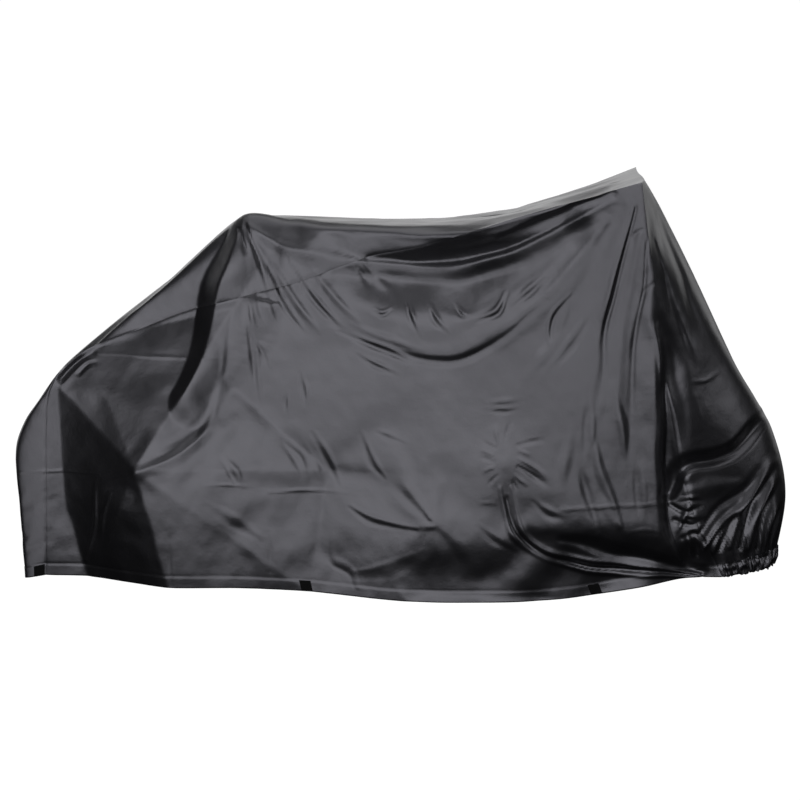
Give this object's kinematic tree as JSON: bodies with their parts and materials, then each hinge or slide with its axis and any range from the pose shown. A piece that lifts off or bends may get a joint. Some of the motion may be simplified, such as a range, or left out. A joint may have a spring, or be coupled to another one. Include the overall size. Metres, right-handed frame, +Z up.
{
  "type": "bicycle cover",
  "caption": "Fitted black cloth cover in its draped shape: side panels sewn to a long centre panel, gathered front hem and webbing hem tabs.",
  "frame": {"origin": "under the top of the cloth, where the saddle carries it", "axes": "+X along the length towards the handlebar end, +Y towards the far side, +Z up"},
  "size_m": [1.7313, 0.6002, 0.9313],
  "materials": {
    "taffeta": "black coated polyester taffeta, satin sheen, creased from packing",
    "webbing": "black ribbed polypropylene webbing, dull"
  },
  "bodies": {
    "root": {"centre_panel": "taffeta", "side_panel_near": "taffeta", "side_panel_far": "taffeta", "tab_rear_near": "webbing", "tab_rear_far": "webbing", "tab_middle_near": "webbing", "tab_middle_far": "webbing", "tab_front_near": "webbing", "tab_front_far": "webbing"}
  },
  "joints": []
}
